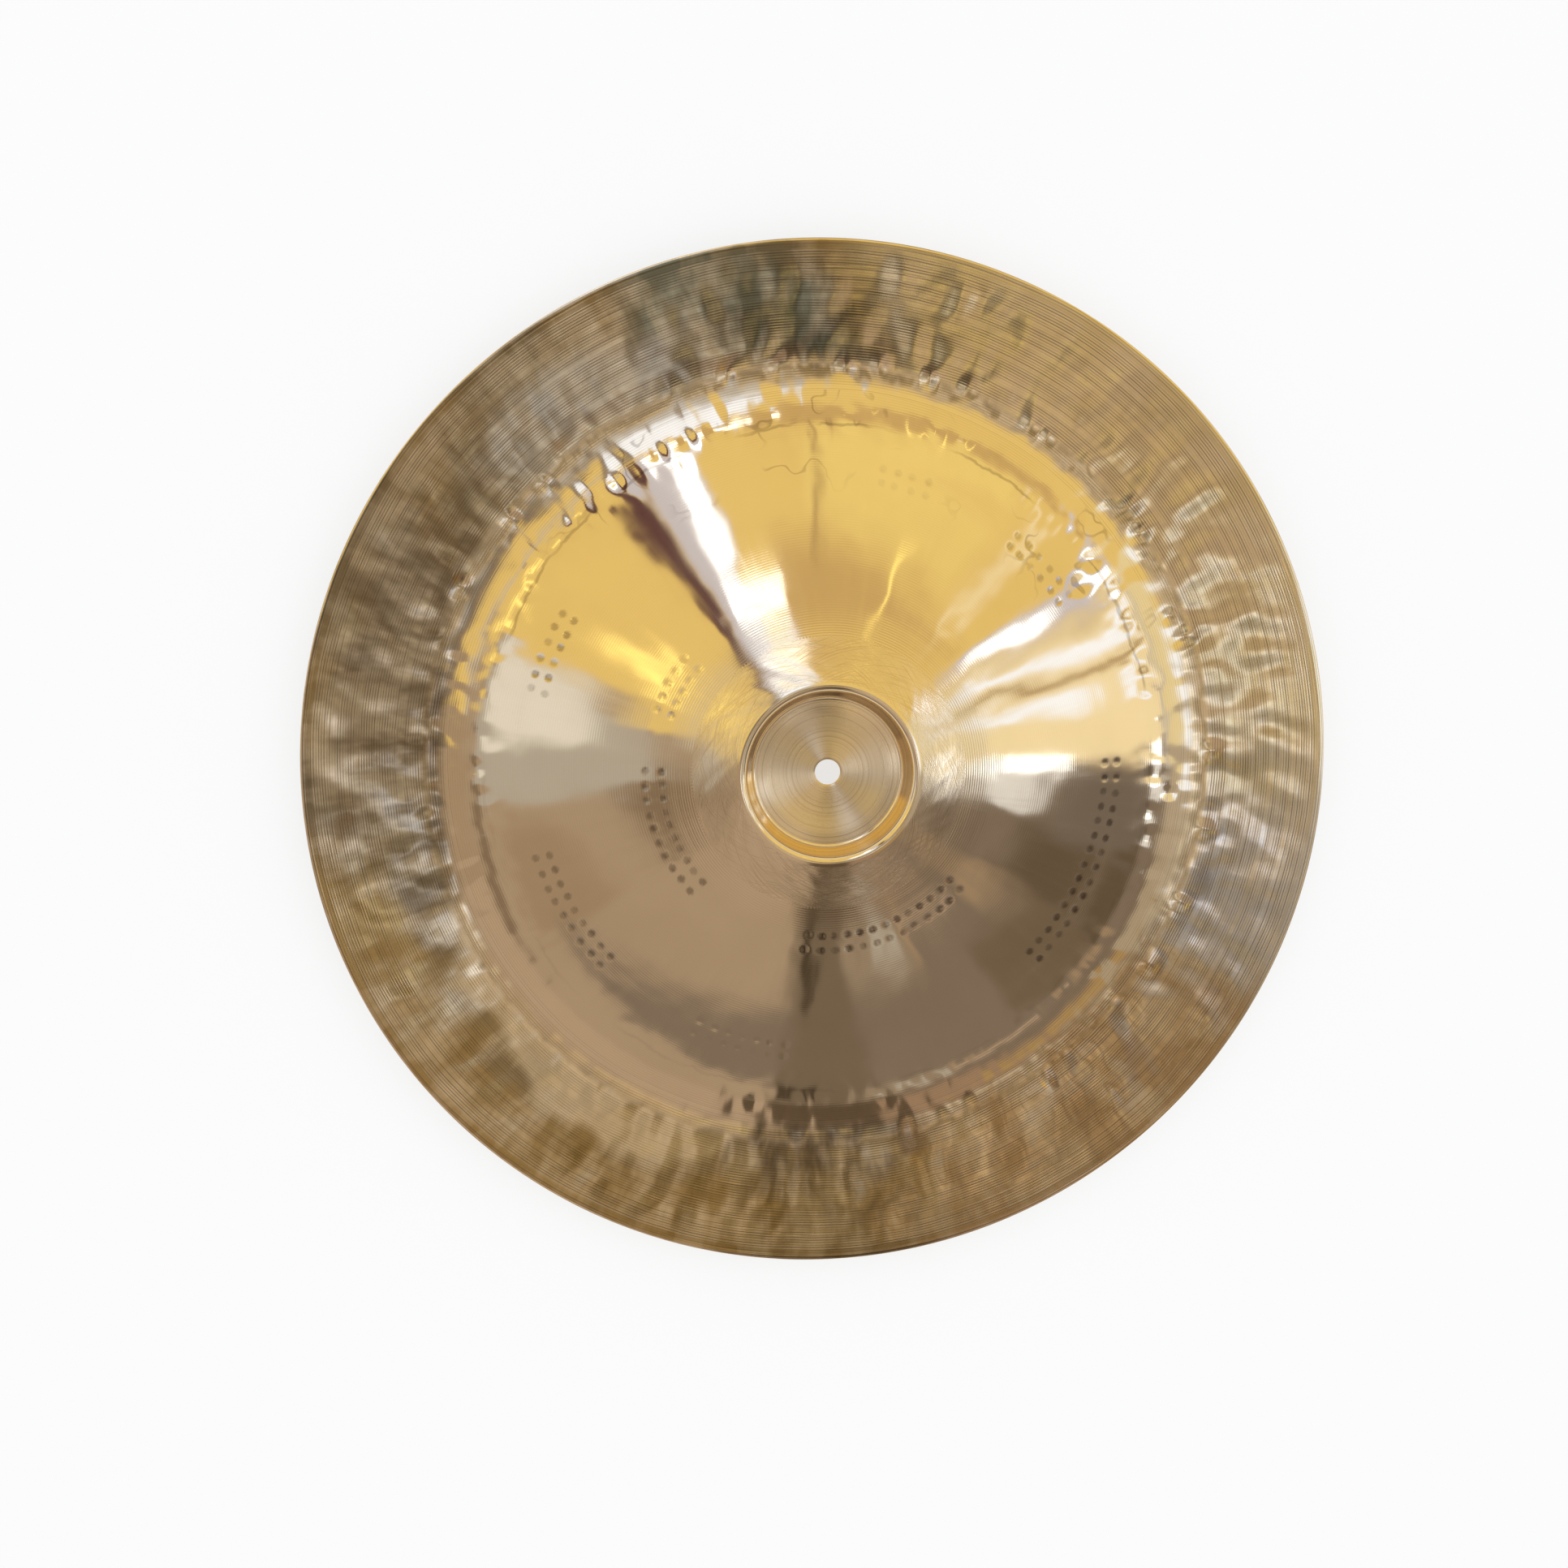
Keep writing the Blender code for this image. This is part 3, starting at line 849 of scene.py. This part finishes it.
def flange_finish():
    """Strong grooves, a brown skin with painted reflections in light and dark patches, and a bright edge at
    the rim.
    """
    flange = Finish("turned_flange", 0.65)
    feed = flange.grooves(TURNING_PITCH, 0.0022, 17.0)
    coarse = flange.circles(0.0016, 0.0012, 4.0)
    wobble = flange.math("SUBTRACT", flange.noise(flange.place, 22.0, 2.0, 0.5, 9.0), 0.5)
    reach = flange.plus(flange.radius, flange.times(wobble, 0.030))
    # an earlier start of the skin darkens the heel: painted shade round 184 and 296 degrees
    for *sector, earlier in SKIN_AND_SHADE_STARTS:
        reach = flange.plus(reach, flange.times(flange.sector(flange.outwards, *sector), earlier))
    out_of_turn = flange.times(flange.ramp(reach, 0.174, 0.186), flange.ramp(flange.radius, 0.167, 0.174))
    out_of_turn = flange.math("MAXIMUM", out_of_turn, flange.ramp(flange.radius, 0.167, 0.175, 0.0, 0.30))
    patchy = flange.ramp(flange.noise(flange.place, 24.0, 2.0, 0.5, 12.0), 0.35, 0.65, 0.5, 1.0)
    strong = flange.ramp(flange.circles(0.0034, 0.0060, 14.0, 2.0), 0.36, 0.62, 0.25, 1.25)
    patchy = flange.times(patchy, strong)
    depth = flange.plus(0.000005, flange.times(out_of_turn, 0.000008))
    height = flange.plus(flange.times(feed, depth, patchy), flange.times(coarse, depth, 0.7))

    x, y, _ = flange.parts(flange.outwards)
    drift = flange.math("SUBTRACT", flange.noise(flange.place, 15.0, 2.0, 0.5, 41.0), 0.5)
    around = flange.plus(flange.math("DEGREES", flange.math("ARCTAN2", y, x)), flange.times(drift, 36.0))
    millimetres = flange.plus(flange.times(flange.radius, 1000.0), flange.times(wobble, 50.0))
    golden = flange.ramp(flange.noise(flange.place, 19.0, 2.0, 0.5, 43.0), 0.46, 0.62, 0.0, 0.8)
    skin_and_reflections = flange.mix(golden, OLIVE_SKIN, GOLDEN_SKIN)
    # painted reflections: light and dark patches laid over the olive and golden skin
    for painted_patch in PAINTED_REFLECTIONS:
        skin_and_reflections = flange.over(skin_and_reflections, around, millimetres, painted_patch)

    cloud = flange.ramp(flange.streaks(12.0, 26.0, 2.0), 0.34, 0.66, -0.36, 0.28)
    worn = flange.ramp(flange.radius, 0.206, 0.226, 0.0, -0.12)
    brown = flange.times(flange.plus(0.80, cloud, worn), out_of_turn)
    groove = flange.times(flange.ramp(feed, 0.42, 0.02, 0.0, 0.60), strong)
    groove = flange.times(groove, flange.plus(0.3, flange.times(out_of_turn, 0.7)))
    rim_shade = flange.times(flange.ramp(flange.radius, 0.2238, 0.2248), 0.30)
    bright_edge = flange.ramp(flange.radius, 0.2273, 0.2281)
    skin = flange.math("SUBTRACT", flange.plus(brown, rim_shade), bright_edge, clamp=True)
    colour = flange.mix(skin, BRONZE, skin_and_reflections)
    darkened = flange.math("MAXIMUM", flange.times(flange.dirt(), 0.8), groove)
    colour = flange.mix(darkened, colour, DIRT_AND_SHADE)

    patches = flange.ramp(flange.noise(flange.place, 60.0, 3.0, 0.6, 6.0), 0.3, 0.7, 0.10, 0.13)
    return flange.finish(colour, patches, height)


turned_flange = flange_finish()


# %% Sanded finish, for the throat round the cup
# middles of the curved strokes, off the axis
STROKE_MIDDLES = [(0.018, 0.004), (-0.014, 0.012), (0.002, -0.020)]


def sanded_finish():
    """Long curved scratches that cross, from sandpaper held against the turning disc."""
    sanded = Finish("sanded_throat", 0.5)
    x, y, _ = sanded.parts(sanded.place)
    scratches = 0.0
    for number, (middle_x, middle_y) in enumerate(STROKE_MIDDLES):
        arm = sanded.vectors("LENGTH", sanded.vector(sanded.plus(x, -middle_x), sanded.plus(y, -middle_y)))
        stroke = sanded.vector(sanded.times(x, 50.0), sanded.times(y, 50.0), sanded.times(arm, 2200.0))
        layer = sanded.ramp(sanded.noise(stroke, 1.0, 2.0, 0.5, number * 3.0), 0.48, 0.72)
        scratches = sanded.math("MAXIMUM", scratches, layer)
    rings_left = sanded.circles(0.0009, 0.0004, 21.0)
    swirl = sanded.noise(sanded.place, 42.0, 1.0, 0.4, 27.0)
    height = sanded.plus(sanded.times(scratches, -0.000014), sanded.times(rings_left, 0.000006))
    height = sanded.plus(height, sanded.times(swirl, 0.000800))
    colour = sanded.mix(sanded.times(scratches, 0.55), BRONZE, BROWN_SKIN)
    patches = sanded.noise(sanded.place, 30.0, 2.0, 0.5, 8.0)
    return sanded.finish(colour, sanded.ramp(patches, 0.3, 0.7, 0.11, 0.16), height)


sanded_throat = sanded_finish()


# %% Cup finishes: a turned floor, and a buffed wall with the lip
def floor_finish():
    """Circles from the tool, strongly anisotropic, as on the floor of the cup."""
    cup = Finish("turned_cup_floor", 0.97)
    marks = cup.circles(0.0011, 0.0002, 3.0)
    hair = cup.circles(0.0003, 0.0001, 5.0)
    lines = cup.plus(cup.ramp(marks, 0.50, 0.36, 0.0, 0.45), cup.ramp(hair, 0.50, 0.36, 0.0, 0.30))
    colour = cup.mix(lines, BRONZE, BROWN_SKIN)
    patches = cup.ramp(cup.noise(cup.place, 60.0, 2.0, 0.5, 8.0), 0.3, 0.7, 0.24, 0.30)
    near_wall = cup.ramp(cup.radius, 0.024, 0.029)
    roughness = cup.math("SUBTRACT", patches, cup.times(near_wall, 0.12))
    height = cup.plus(cup.times(marks, 0.000024), cup.times(hair, 0.000003))
    return cup.finish(colour, roughness, height)


def buffed_finish():
    """The mirror of the cup's wall and lip, with faint buffing hairlines."""
    wall = Finish("buffed_cup_wall", 0.1)
    hair = wall.noise(wall.place, 700.0, 2.0, 0.5, 5.0)
    colour = wall.mix(wall.ramp(hair, 0.4, 0.8, 0.0, 0.12), BRONZE, BROWN_SKIN)
    patches = wall.noise(wall.place, 40.0, 2.0, 0.5, 2.0)
    return wall.finish(colour, wall.ramp(patches, 0.3, 0.7, 0.07, 0.12), wall.times(hair, 0.0000012))


turned_cup_floor = floor_finish()
buffed_cup_wall = buffed_finish()

# %% [markdown]
# ## Which finish goes where
# The lathe's tool and the sandpaper stop at clean circles, so a face takes its finish from the
# radius of its middle. The hidden side is turned in the same way.

# %% Give each face its finish
FINISHES = [turned_cup_floor, buffed_cup_wall, sanded_throat, turned_bow, turned_flange]
finish_limits = [floor_edge, LIP_RADIUS + LIP_ROLL, throat, valley]
worked_mesh.materials.clear()
for finish in FINISHES:
    worked_mesh.materials.append(finish)
middles = np.empty(len(worked_mesh.polygons) * 3)
worked_mesh.polygons.foreach_get("center", middles)
middles = middles.reshape(-1, 3)
zone = np.searchsorted(finish_limits, np.hypot(middles[:, 0], middles[:, 1]))
worked_mesh.polygons.foreach_set("material_index", zone.astype(np.int32))
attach(disc, "root")
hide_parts("cymbal_disc")
print("faces by finish", np.bincount(zone))

# %% [markdown]
# ## Floor
# The cymbal lies on a white table. The camera and mirror rays see it nearly as bright as paper,
# while part of its light still comes from the lamps, which keeps the soft shadow under the rim.
# Further out it is as white as the backdrop, so that no horizon shows.

# %% A white floor that keeps the shadow
FLOOR_SIDE = 6.0
SHADOW_SHARE = 0.30
SHADOW_FADE = (0.5, 1.8)
floor_mesh = bpy.data.meshes.new("floor")
half = FLOOR_SIDE / 2
corners = [(-half, -half, 0), (half, -half, 0), (half, half, 0), (-half, half, 0)]
floor_mesh.from_pydata(corners, [], [(0, 1, 2, 3)])
floor = bpy.data.objects.new("floor", floor_mesh)
bpy.context.scene.collection.objects.link(floor)
paper = bpy.data.materials.new("white_paper")
paper.use_nodes = True
paper.node_tree.nodes.clear()
tree = Tree(paper.node_tree)
rays = tree.add("ShaderNodeLightPath").outputs
seen = tree.math("MAXIMUM", rays["Is Camera Ray"], rays["Is Glossy Ray"])
seen = tree.math("MAXIMUM", seen, rays["Is Transmission Ray"])
matt = tree.add("ShaderNodeBsdfDiffuse", {"Color": (0.9, 0.9, 0.9, 1.0)}).outputs[0]
glow = tree.add("ShaderNodeEmission", {"Color": (1.0, 1.0, 1.0, 1.0), "Strength": 1.0}).outputs[0]
away = tree.vectors("LENGTH", tree.add("ShaderNodeTexCoord").outputs["Object"])
paper_glow = tree.ramp(away, *SHADOW_FADE, 1.0 - SHADOW_SHARE, 1.0)
blend = tree.add("ShaderNodeMixShader", {0: tree.times(seen, paper_glow), 1: matt, 2: glow})
tree.add("ShaderNodeOutputMaterial", {"Surface": blend.outputs[0]})
floor_mesh.materials.append(paper)
print("floor", FLOOR_SIDE, "m")

# %% [markdown]
# ## The studio
# A polished metal shows its surroundings more than itself, so the studio is a dome of large soft
# cards. Golden cards stand behind the cymbal and grey-beige ones in front of it. Each card is one
# line of a list: where its middle is, how far it reaches to its sides and upwards, how soft its
# edge is, and its colour.

# %% Colours of the cards
GOLD = (0.98, 0.80, 0.35)
DEEP_GOLD = (0.74, 0.56, 0.28)
LIGHT_GOLD = (1.06, 0.91, 0.40)
PALE_GOLD = (1.14, 1.08, 0.86)
CREAM = (1.00, 0.94, 0.68)
BEIGE = (0.49, 0.415, 0.365)
SAND = (0.55, 0.46, 0.41)
TAN = (0.42, 0.34, 0.28)
GREY = (0.55, 0.56, 0.62)
MIST = (0.68, 0.71, 0.82)
SILVER = (0.95, 1.05, 1.35)
LILAC = (0.74, 0.80, 1.15)
WHITE = (1.25, 1.50, 2.20)
AMBER = (0.50, 0.37, 0.20)
UMBER = (0.26, 0.225, 0.22)
DUSK = (0.38, 0.33, 0.30)
ROSE = (0.40, 0.30, 0.25)
PLUM = (0.14, 0.07, 0.09)
SHADE = (0.15, 0.12, 0.10)
NIGHT = (0.08, 0.065, 0.05)
YELLOW_LAMP = (2.0, 1.8, 0.7)
print("the brightest card:", WHITE)


# %% Cards of the studio dome
# name, azimuth, half width, tilt from straight up, half height, softness in degrees, colour
CARDS = [
    ("gold_wall", 92, 74, 43, 30, 4, GOLD),
    ("gold_low", 60, 34, 24, 8, 4, DEEP_GOLD),
    ("gold_high", 62, 22, 41, 4, 4, LIGHT_GOLD),
    ("cream_wall", 4, 12, 44, 18, 4, PALE_GOLD),
    ("beige_wall", 240, 32, 50, 26, 2, BEIGE),
    ("umber_wall", 311, 38, 46, 26, 3, UMBER),
    ("dusk_wall", 291, 6, 44, 16, 4, DUSK),
    ("far_shade", 262, 44, 58, 9, 2, UMBER),
    ("door_shade", 278, 5.5, 44, 16, 3, (0.22, 0.185, 0.165)),
    ("door_edge", 275.0, 1.2, 43, 6, 0.6, NIGHT),
    ("brown_shade", 214, 11, 44.5, 3.5, 2.5, TAN),
    ("low_shade", 212, 18, 28.5, 3, 3, (0.27, 0.215, 0.18)),
    ("curtain", 292.5, 1.4, 42, 4, 2, GREY),
    ("curtain_fold", 299, 1.0, 44, 4, 1.5, TAN),
    ("low_glow", 305, 6, 41, 1.5, 2, SAND),
    ("brown_fold", 320, 3, 43, 4, 3, TAN),
    ("dark_corner", 331, 7, 52, 5, 4, SHADE),
    ("dusk_corner", 317, 7, 55, 4, 3, (0.20, 0.165, 0.14)),
    ("dark_edge", 343, 6, 54, 4, 3, (0.20, 0.18, 0.18)),
    ("grey_wall", 186, 12, 40, 12, 3, GREY),
    ("left_window", 176, 9, 39, 5, 3, (0.95, 1.02, 1.20)),
    ("low_gold", 168, 10, 24, 4, 3, GOLD),
    ("window", 114, 7, 34, 16, 1.5, LILAC),
    ("window_frame", 125.0, 2.7, 31, 14, 1.2, PLUM),
    ("right_window", 20.5, 2.2, 43, 13, 1.5, LILAC),
    ("right_line_a", 3.5, 1.1, 43, 8, 1.2, WHITE),
    ("right_line_b", 12.5, 1.3, 44, 12, 1.2, WHITE),
    ("right_frame", 8, 0.6, 44, 10, 1, AMBER),
    ("thin_lamp_a", 57, 0.5, 31, 5, 0.8, YELLOW_LAMP),
    ("thin_shade", 81, 0.6, 36, 6, 1, AMBER),
    ("thin_lamp_b", 35, 0.7, 42, 8, 1.2, PALE_GOLD),
    ("thin_lamp_d", 156.5, 1.0, 30, 3, 1.5, YELLOW_LAMP),
    ("low_lamp", 155, 12, 26, 0.6, 1.0, YELLOW_LAMP),
    ("bright_corner", 346, 5, 41.5, 4.5, 2, SILVER),
]
world = bpy.data.worlds.new("studio")
bpy.context.scene.world = world
world.use_nodes = True
world.node_tree.nodes.clear()
tree = Tree(world.node_tree)
towards = tree.add("ShaderNodeTexCoord").outputs["Generated"]
x, y, z = tree.parts(towards)
azimuth = tree.math("DEGREES", tree.math("ARCTAN2", y, x))
tilt = tree.math("DEGREES", tree.math("ARCCOSINE", z))
dome = BEIGE
for name, *card in CARDS:
    dome = tree.over(dome, azimuth, tilt, card)
print("studio dome:", len(CARDS), "cards")

# %% [markdown]
# Near the horizon the dome turns pale. The camera itself always sees it white, so that every view
# has a plain background, and so does the matt paper, so that it lies in plain white light.

# %% Pale horizon, and plain white for the camera and the paper
PALE = (0.86, 0.86, 0.86)
PAPER_WHITE = (1.0, 1.0, 1.0)
HORIZON_TILT = 66.0
HORIZON_SOFTNESS = 8.0
dome = tree.mix(tree.ramp(tilt, HORIZON_TILT, HORIZON_TILT + HORIZON_SOFTNESS), dome, PALE)
rays = tree.add("ShaderNodeLightPath").outputs
plain = tree.math("MAXIMUM", rays["Is Camera Ray"], rays["Is Diffuse Ray"])
dome = tree.mix(plain, dome, PAPER_WHITE)
backdrop = tree.add("ShaderNodeBackground", {"Color": dome, "Strength": 1.0})
tree.add("ShaderNodeOutputWorld", {"Surface": backdrop.outputs[0]})
print("world has", len(world.node_tree.nodes), "nodes")

# %% [markdown]
# ## A canopy over the disc
# The flange bends the other way than the bow, so it gathers light like a shaving mirror: all of it
# looks at one small patch above the disc. A level canopy there is painted in sectors that carry on
# the colours of the dome, with a mottled brown patch in the middle for the flange. Only mirror
# rays see the canopy. It casts no shadow, and it shows to no camera.

# %% Cards of the canopy
CANOPY_HEIGHT = 1.2
CANOPY_RADIUS = 0.745
CANOPY_SIDES = 96
CANOPY_MIDDLE = (0.134, -0.151)
CENTIMETRES = 100.0
CANOPY_OFFSET = (0.05, -0.05)
PATCH_BROWN = (0.46, 0.37, 0.28)
PATCH_GOLD = (0.58, 0.45, 0.25)
PATCH_SILVER = (0.62, 0.60, 0.56)
PATCH_DUSK = (0.46, 0.39, 0.31)
# name, azimuth, half width, centimetres from the middle, half depth, softness, colour
CANOPY_CARDS = [
    ("gold", 65, 36, 56, 30, 3, GOLD),
    ("left_gold", 151, 21, 52, 11, 3, GOLD),
    ("left_silver", 152, 20, 70, 7, 3, MIST),
    ("cream", 15, 16, 52, 32, 3, CREAM),
    ("right_silver", 8, 20, 80, 9, 4, MIST),
    ("silver_ring", 62, 36, 18, 9, 4, (0.74, 0.66, 0.60)),
    ("right_white", 8, 14, 31, 9, 5, WHITE),
    ("window", 112, 10, 62, 22, 2, WHITE),
    ("window_foot", 116, 15, 26, 13, 6, MIST),
    ("window_frame", 127, 2.5, 52, 22, 2, DUSK),
    ("left_sand", 187, 15, 50, 32, 3, (0.46, 0.38, 0.32)),
    ("rose", 292, 8, 45, 28, 3, ROSE),
    ("amber", 318, 17, 44, 12, 4, AMBER),
    ("streaked", 334, 9, 40, 22, 4, (0.50, 0.46, 0.42)),
    ("corner", 351, 8, 40, 26, 4, (0.55, 0.51, 0.48)),
    ("throat_shade", 303, 52, 79, 8, 3, (0.24, 0.20, 0.19)),
    ("dark", 271, 12, 49, 31, 2, (0.13, 0.10, 0.08)),
    ("middle", 0, 180, 0, 19, 3, PATCH_BROWN),
    ("sand", 229, 29, 43, 37, 1.5, SAND),
    ("sand_across", 52, 28, 10, 13, 3, (0.70, 0.62, 0.54)),
    ("light_across", 356, 20, 11, 12, 4, (0.72, 0.67, 0.60)),
    ("heel_white", 12, 5, 13, 9, 3, (1.60, 1.75, 2.20)),
    ("flange_tan", 252, 24, 13, 8, 4, (0.76, 0.64, 0.49)),
    ("flange_gold", 95, 20, 14, 9, 4, PATCH_GOLD),
    ("flange_rose", 128, 20, 14, 8, 5, PATCH_DUSK),
    ("flange_dusk", 298, 13, 16, 5, 4, (0.72, 0.74, 0.80)),
    ("flange_light", 178, 28, 13, 7, 4, (0.65, 0.55, 0.40)),
    ("flange_white", 186, 11, 17, 3.5, 3, WHITE),
    ("flange_silver", 160, 9, 17, 3.5, 3, SILVER),
    ("flange_streak", 277, 5, 13, 6, 3, (0.24, 0.22, 0.16)),
    ("gleam_a", 118, 4, 14, 6, 2, (1.00, 0.85, 0.62)),
    ("gleam_b", 137, 4, 13, 6, 2, (0.95, 0.82, 0.60)),
    ("gleam_c", 94, 4, 10, 4, 2, (0.90, 0.72, 0.40)),
    ("dim_a", 107, 4, 14, 6, 2, (0.26, 0.20, 0.14)),
    ("dim_b", 127, 3, 13, 6, 2, (0.28, 0.21, 0.14)),
    ("flecks", 260, 4, 12, 2, 1.5, YELLOW_LAMP),
    ("centre", 0, 180, 0, 4, 3, (0.60, 0.52, 0.45)),
]
canopy_mesh = bpy.data.meshes.new("canopy")
turns = [2 * math.pi * i / CANOPY_SIDES for i in range(CANOPY_SIDES)]
edge = [(CANOPY_RADIUS * math.cos(turn), CANOPY_RADIUS * math.sin(turn)) for turn in turns]
shift = [middle + offset for middle, offset in zip(CANOPY_MIDDLE, CANOPY_OFFSET)]
edge = [(x + shift[0], y + shift[1], CANOPY_HEIGHT) for x, y in edge]
canopy_mesh.from_pydata(edge, [], [range(CANOPY_SIDES)])
canopy = bpy.data.objects.new("canopy", canopy_mesh)
bpy.context.scene.collection.objects.link(canopy)
canopy.visible_camera = False
canopy.visible_diffuse = False
canopy.visible_transmission = False
canopy.visible_shadow = False

canopy_paint = bpy.data.materials.new("canopy_paint")
canopy_paint.use_nodes = True
canopy_paint.node_tree.nodes.clear()
tree = Tree(canopy_paint.node_tree)
place = tree.add("ShaderNodeTexCoord").outputs["Object"]
off_middle = tree.vectors("SUBTRACT", place, (*CANOPY_MIDDLE, CANOPY_HEIGHT))
x, y, _ = tree.parts(off_middle)
around = tree.math("DEGREES", tree.math("ARCTAN2", y, x))
from_middle = tree.times(tree.vectors("LENGTH", off_middle), CENTIMETRES)
paint = UMBER
for name, *card in CANOPY_CARDS:
    paint = tree.over(paint, around, from_middle, card)
in_patch = tree.ramp(from_middle, 30.0, 16.0)
calm = tree.sector(tree.vectors("NORMALIZE", off_middle), *BARE_SIDE)
in_patch = tree.times(in_patch, tree.math("MULTIPLY_ADD", calm, -0.7, 1.0))
silvery = tree.ramp(tree.noise(place, 8.0, 1.0, 0.5, 9.0), 0.46, 0.62, 0.0, 0.45)
paint = tree.mix(tree.times(silvery, in_patch), paint, PATCH_SILVER)
mottles = tree.ramp(tree.noise(place, 9.0, 1.0, 0.5, 3.0), 0.36, 0.64, 0.48, 1.60)
strength = tree.plus(1.0, tree.times(in_patch, tree.math("SUBTRACT", mottles, 1.0)))
glow = tree.add("ShaderNodeEmission", {"Color": paint, "Strength": strength})
tree.add("ShaderNodeOutputMaterial", {"Surface": glow.outputs[0]})
canopy_mesh.materials.append(canopy_paint)
print("canopy:", len(CANOPY_CARDS), "cards")

# %% [markdown]
# Soft boxes stand round the table in front of the cards. Each shows in the metal as a white
# streak that runs outwards over the bow, because a cone mirrors a lamp as a line.

# %% Soft boxes
COOL_WHITE = (0.60, 0.72, 1.0)
# name, azimuth and tilt in degrees, distance, width, height, brightness of its face
SOFT_BOXES = [
    ("window_low", 104, 27.5, 2.0, 0.34, 0.18, 2.6),
    ("window_high", 111, 38, 2.0, 0.12, 0.42, 2.4),
    ("strip_box", 21, 43, 2.0, 0.07, 0.46, 2.4),
    ("corner_box", 351, 46, 2.0, 0.13, 0.30, 2.4),
]
for name, around, lean, distance, width, height, brightness in SOFT_BOXES:
    lamp = bpy.data.lights.new(name, "AREA")
    lamp.shape = "RECTANGLE"
    lamp.size = width
    lamp.size_y = height
    lamp.color = COOL_WHITE
    lamp.energy = brightness * math.pi * width * height
    box = bpy.data.objects.new(name, lamp)
    turn = math.radians(around)
    lean = math.radians(lean)
    flat_reach = distance * math.sin(lean)
    box.location = (flat_reach * math.cos(turn), flat_reach * math.sin(turn), distance * math.cos(lean))
    box.rotation_euler = (lean, 0.0, turn + math.pi / 2)
    box.visible_camera = False
    bpy.context.scene.collection.objects.link(box)
print(len(SOFT_BOXES), "soft boxes")

# %% [markdown]
# ## Camera
# The photographer leaned over the cymbal from the upper left, about three quarters of a metre
# away. The lens is given in pixels of the photo's square frame and turned into millimetres here.

# %% Camera at the photo's viewing angle
PHOTO_SIDE = 1932
LENS_IN_PIXELS = 2046.4
SENSOR = 36.0
CAMERA_PLACE = Vector((-0.0833, 0.0943, 0.7433))
CAMERA_AIM = Vector((-0.0186, -0.0061, 0.0155))
camera_data = bpy.data.cameras.new("photo_view")
camera_data.sensor_width = SENSOR
camera_data.lens = LENS_IN_PIXELS / PHOTO_SIDE * SENSOR
camera_data.clip_start = 0.01
camera_data.clip_end = 50.0
camera = bpy.data.objects.new("photo_view", camera_data)
bpy.context.scene.collection.objects.link(camera)
ahead = (CAMERA_AIM - CAMERA_PLACE).normalized()
right = ahead.cross(Vector((0, 1, 0))).normalized()
camera.location = CAMERA_PLACE
camera.rotation_euler = Matrix((right, right.cross(ahead), -ahead)).transposed().to_euler()
bpy.context.scene.camera = camera
bpy.context.scene.view_settings.view_transform = "Standard"
print("gaze leans", round(math.degrees(math.acos(-ahead.z)), 2), "degrees from straight down")
